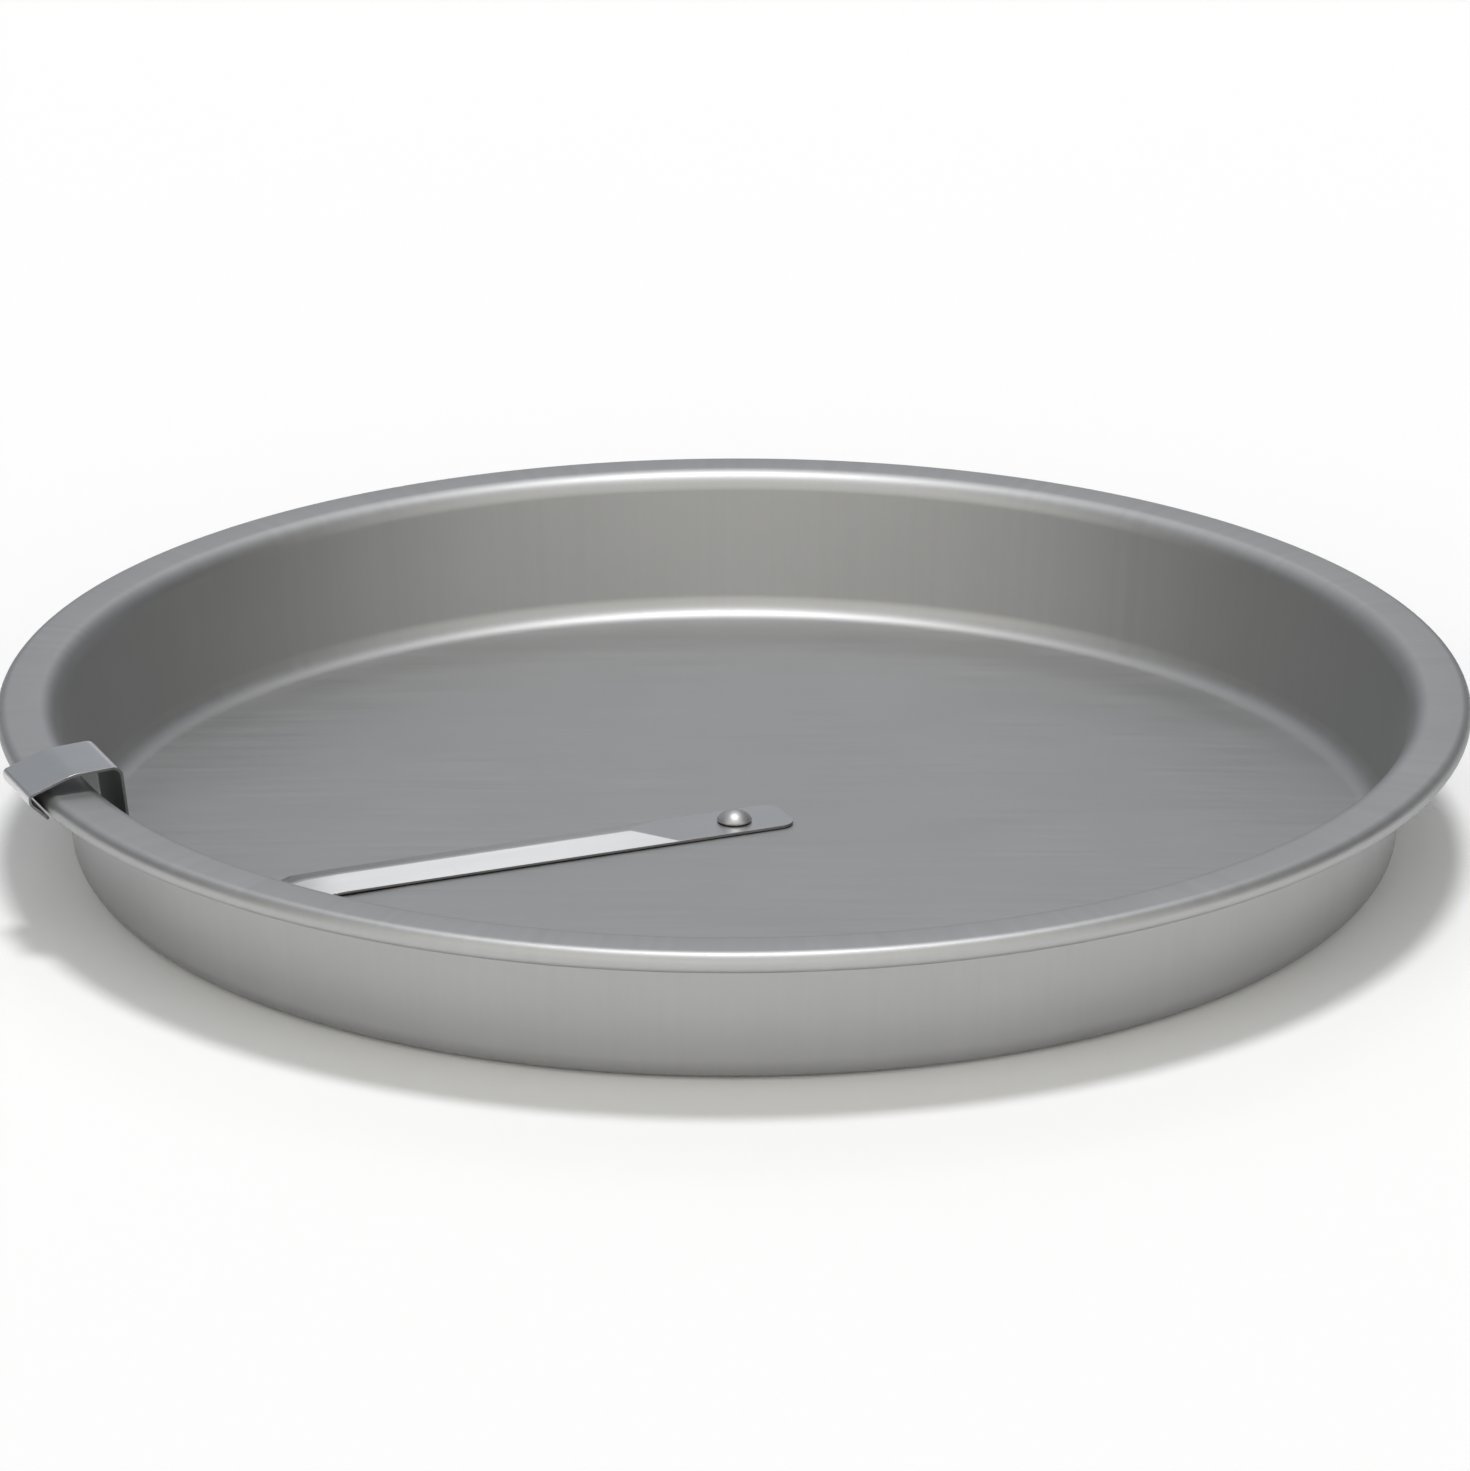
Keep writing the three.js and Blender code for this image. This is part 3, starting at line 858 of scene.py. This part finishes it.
    def pierce_eye(self, bm, body, arm):
        """Opens the round hole for the rivet in the flat end."""
        radius = arm.hole_diameter / 2
        centre = min(bm.verts, key=lambda vert: vert.co.xy.length + vert.co.z)
        opened = round_points(bm, [centre], radius, EYE_SEGMENTS)
        bmesh.ops.delete(bm, geom=opened["faces"], context="FACES")
        for vert in blade_verts(bm, body):
            if vert.co.xy.length < radius * EYE_REACH:
                vert.co.xy = vert.co.xy.normalized() * radius

    def round_corners(self, bm, body, arm):
        """Rounds the corners of the flat end and of the tongue."""
        tail = [vert for vert in border_verts(bm, arm) if vert.co.x < -arm.tail + SAME_PLACE]
        round_points(bm, tail, arm.tail_corner, TAIL_CORNER_SEGMENTS)
        outside = [vert for vert in border_verts(bm, arm) if vert.co.x > mouth_radius(body)]
        lowest = min(vert.co.z for vert in outside)
        tongue = [vert for vert in outside if vert.co.z < lowest + SAME_PLACE]
        round_points(bm, tongue, arm.clip_corner, TONGUE_CORNER_SEGMENTS)

    def keep_folds_crisp(self, bm):
        """Stops the smooth shading at the folds."""
        for edge in bm.edges:
            edge.smooth = edge.smooth and edge.calc_face_angle(0.0) < SHARP_LIMIT

    def face_up(self, bm):
        """Turns the strip so that its bright side is up, and the darker side under it, whose colour is partly
        painted shade.
        """
        if max(bm.faces, key=lambda face: face.calc_area()).normal.z < 0:
            bmesh.ops.reverse_faces(bm, faces=bm.faces)


class CAKEPAN_OT_stage(bpy.types.Operator):
    """Set the pale floor, the soft studio light and the camera"""

    bl_idname = "cake_pan.stage"
    bl_label = "Studio Stage"
    bl_options = {"REGISTER", "UNDO"}

    def execute(self, context):
        stage = context.scene.cake_pan.stage
        self.lay_floor(stage)
        self.light_room(context.scene, stage)
        self.hang_key(context.scene, stage)
        self.hang_card(context.scene, stage)
        self.place_camera(context.scene, stage)
        return {"FINISHED"}

    def lay_floor(self, stage):
        """A pale matt floor that the pan stands on."""
        bm = bmesh.new()
        bmesh.ops.create_circle(
            bm,
            cap_ends=True,
            segments=FLOOR_SEGMENTS,
            radius=stage.floor_size,
            matrix=Matrix.Translation((0, 0, -stage.floor_drop)),
        )
        material = bpy.data.materials.new("Pale floor")
        material.use_nodes = True
        shader = material.node_tree.nodes["Principled BSDF"]
        shader.inputs["Base Color"].default_value = (*stage.floor_colour, 1.0)
        shader.inputs["Roughness"].default_value = FLOOR_ROUGHNESS
        shader.inputs["Specular IOR Level"].default_value = 0.0
        floor = add_piece("studio_floor", bm, material)

    def light_room(self, scene, stage):
        """A pale room made of soft round patches of light."""
        world = bpy.data.worlds.new("Studio")
        world.use_nodes = True
        nodes, links = world.node_tree.nodes, world.node_tree.links
        looking = nodes.new("ShaderNodeTexCoord").outputs["Generated"]
        total = None
        for patch in ROOM_PATCHES:
            glow = self.soft_patch(nodes, links, looking, patch, stage.room_level)
            if total is None:
                total = glow
                continue
            both = nodes.new("ShaderNodeVectorMath")
            both.operation = "ADD"
            links.new(total, both.inputs[0])
            links.new(glow, both.inputs[1])
            total = both.outputs["Vector"]
        links.new(total, nodes["Background"].inputs["Color"])
        scene.world = world

    def soft_patch(self, nodes, links, looking, patch, room_level):
        """Light of one patch in the direction looked in, which fades with the angle from its middle."""
        turn, tilt = math.radians(patch.azimuth), math.radians(patch.elevation)
        facing = nodes.new("ShaderNodeVectorMath")
        facing.label = patch.name
        facing.operation = "DOT_PRODUCT"
        facing.inputs[1].default_value = (
            math.cos(tilt) * math.sin(turn),
            -math.cos(tilt) * math.cos(turn),
            math.sin(tilt),
        )
        links.new(looking, facing.inputs[0])
        away = maths(nodes, links, "SUBTRACT", facing.outputs["Value"], 1.0)
        fade = maths(nodes, links, "EXPONENT", maths(nodes, links, "MULTIPLY", away, patch.focus))
        glow = nodes.new("ShaderNodeVectorMath")
        glow.operation = "SCALE"
        glow.inputs[0].default_value = [patch.level * room_level * part for part in patch.tint]
        links.new(fade, glow.inputs["Scale"])
        return glow.outputs["Vector"]

    def hang_key(self, scene, stage):
        """A broad soft lamp above the pan."""
        lamp = bpy.data.lights.new("Key", "SUN")
        lamp.energy = stage.key_power
        lamp.angle = stage.key_spread
        key = bpy.data.objects.new("Key", lamp)
        lean = Vector((math.tan(stage.key_right), math.tan(stage.key_back), 1.0))
        key.rotation_euler = lean.to_track_quat("Z", "Y").to_euler()
        scene.collection.objects.link(key)

    def hang_card(self, scene, stage):
        """A soft box behind the pan, which the near face of the blade mirrors."""
        lamp = bpy.data.lights.new("Soft box", "AREA")
        lamp.shape = "RECTANGLE"
        lamp.size = stage.card_width
        lamp.size_y = stage.card_height
        lamp.energy = stage.card_power
        card = bpy.data.objects.new("Soft box", lamp)
        aim = Vector(stage.card_aim).normalized()
        card.location = Vector(stage.card_target) + aim * stage.card_distance
        card.rotation_euler = aim.to_track_quat("Z", "Y").to_euler()
        scene.collection.objects.link(card)

    def place_camera(self, scene, stage):
        """The camera at the photograph's angle."""
        data = bpy.data.cameras.new("Camera")
        data.sensor_fit = "HORIZONTAL"
        data.sensor_width = SENSOR_WIDTH
        data.lens = stage.camera_lens
        data.shift_x = stage.camera_shift
        data.clip_end = CAMERA_REACH
        camera = bpy.data.objects.new("Camera", data)
        tilt = Euler((math.pi / 2 - stage.camera_pitch, 0.0, 0.0)).to_matrix()
        roll = Matrix.Rotation(stage.camera_roll, 3, "Z")
        camera.matrix_world = Matrix.Translation(stage.camera_place) @ (tilt @ roll).to_4x4()
        scene.collection.objects.link(camera)
        scene.camera = camera
        scene.view_settings.view_transform = "Standard"


class CAKEPAN_PT_panel(bpy.types.Panel):
    """Lists the pieces of the pan"""

    bl_idname = "CAKEPAN_PT_panel"
    bl_label = "Cake Pan"
    bl_space_type = "VIEW_3D"
    bl_region_type = "UI"
    bl_category = "Cake Pan"

    def draw(self, context):
        for operator in OPERATORS:
            self.layout.operator(operator.bl_idname)


GROUPS = (CakePanBody, CakePanRivet, CakePanArm, CakePanFinish, CakePanStage, CakePanSettings)
OPERATORS = (CAKEPAN_OT_body, CAKEPAN_OT_rivet, CAKEPAN_OT_arm, CAKEPAN_OT_stage)
CLASSES = GROUPS + OPERATORS + (CAKEPAN_PT_panel,)


def register():
    for item in CLASSES:
        bpy.utils.register_class(item)
    bpy.types.Scene.cake_pan = PointerProperty(type=CakePanSettings)


def unregister():
    del bpy.types.Scene.cake_pan
    for item in reversed(CLASSES):
        bpy.utils.unregister_class(item)


def main():
    register()
    bpy.ops.cake_pan.body()
    bpy.ops.cake_pan.rivet()
    bpy.ops.cake_pan.arm()
    bpy.ops.cake_pan.stage()


if __name__ == "__main__":
    main()
